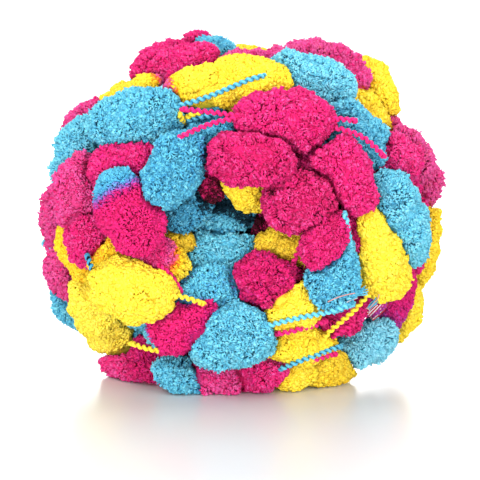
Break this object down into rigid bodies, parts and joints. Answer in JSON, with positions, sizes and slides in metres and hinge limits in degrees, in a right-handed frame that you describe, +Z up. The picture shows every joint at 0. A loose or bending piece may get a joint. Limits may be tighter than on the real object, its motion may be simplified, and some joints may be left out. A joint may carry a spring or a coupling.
{
  "type": "ball of pom pom yarn",
  "caption": "Loosely wound ball of plump, thick-pile pom pom yarn in cyan, pink and yellow, with an open hollow in its front and a small flat spot to stand on.",
  "frame": {"origin": "centre of the ball's flat spot on the surface it stands on, under the middle of its outer box", "axes": "+X to the right across the ball's width, +Y away from the viewer, so the hollow opens towards -Y, and +Z up"},
  "size_m": [0.2022, 0.1821, 0.1713],
  "materials": {
    "pile_yarn": "thick matt chenille pile in runs of cyan, magenta pink and lemon yellow, on a thin braided cord of the same colours"
  },
  "bodies": {
    "root": {"yarn_ball": "pile_yarn"}
  },
  "joints": []
}
